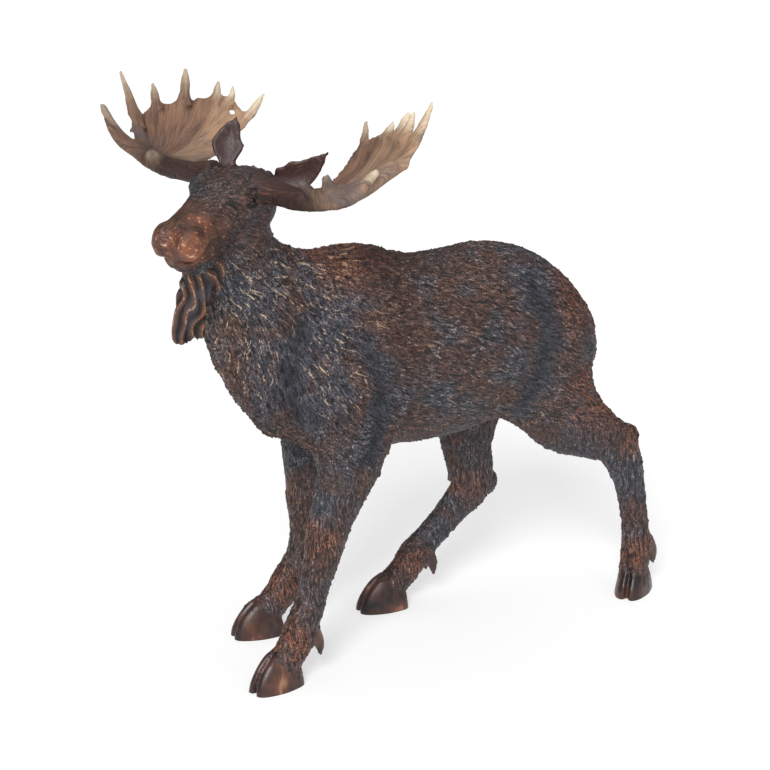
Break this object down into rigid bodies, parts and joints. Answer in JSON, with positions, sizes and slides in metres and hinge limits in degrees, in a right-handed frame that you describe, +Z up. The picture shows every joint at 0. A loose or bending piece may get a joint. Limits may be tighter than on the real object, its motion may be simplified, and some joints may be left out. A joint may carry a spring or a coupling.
{
  "type": "moose statue",
  "caption": "Cast resin statue of a bull moose in mid stride with its head turned to its left, broad antlers, a dewlap and a carved coat, standing on its hooves.",
  "frame": {"origin": "middle of the part's box, on the ground under the hooves", "axes": "-Y the way the body faces, +X the moose's left side, +Z up"},
  "size_m": [0.2542, 0.5014, 0.5001],
  "materials": {
    "painted_resin": "satin cast resin painted dark brown, with slate blue in the hollows, copper patches and pale gold dry-brushed on the fur; antlers tan and ivory"
  },
  "bodies": {
    "root": {"moose": "painted_resin"}
  },
  "joints": []
}
